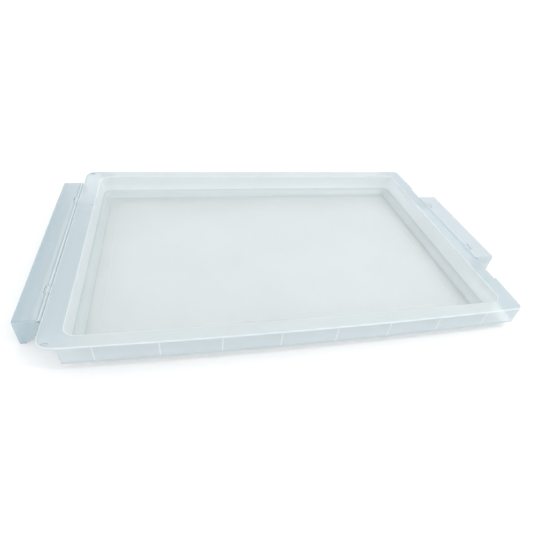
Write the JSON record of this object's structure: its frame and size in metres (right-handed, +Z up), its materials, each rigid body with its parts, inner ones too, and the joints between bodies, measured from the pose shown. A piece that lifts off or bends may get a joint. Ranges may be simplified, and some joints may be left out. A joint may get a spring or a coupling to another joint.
{
  "type": "slab mould tray",
  "caption": "Shallow clear plastic slab mould tray with a wide recess, ribbed skirts and a hinged grip flap at each end.",
  "frame": {"origin": "under the middle of the whole object, on the surface that the flat base stands on", "axes": "+X along the tray towards the narrow grip flap, +Y towards the back long side, +Z up out of the recess"},
  "size_m": [0.5232, 0.315, 0.0303],
  "materials": {
    "tray_plastic": "clear polypropylene, slightly milky, faint blue-grey tint",
    "flap_plastic": "clear polypropylene, slightly milky, faint blue-grey tint",
    "pin_plastic": "clear moulded pins"
  },
  "bodies": {
    "tray": {"tray": "tray_plastic", "left_hinge_pin_front": "pin_plastic", "left_hinge_pin_rear": "pin_plastic", "right_hinge_pin_front": "pin_plastic", "right_hinge_pin_rear": "pin_plastic"},
    "left_flap": {"left_grip_flap": "flap_plastic"},
    "right_flap": {"right_grip_flap": "flap_plastic"}
  },
  "joints": [
    {"name": "left_flap_hinge", "type": "hinge", "parent": "tray", "child": "left_flap", "pos_m": [-0.24, 0, 0.0271], "axis": [0, 1, 0], "range_deg": [0, 95]},
    {"name": "right_flap_hinge", "type": "hinge", "parent": "tray", "child": "right_flap", "pos_m": [0.2385, 0, 0.0279], "axis": [0, -1, 0], "range_deg": [0, 95]}
  ]
}
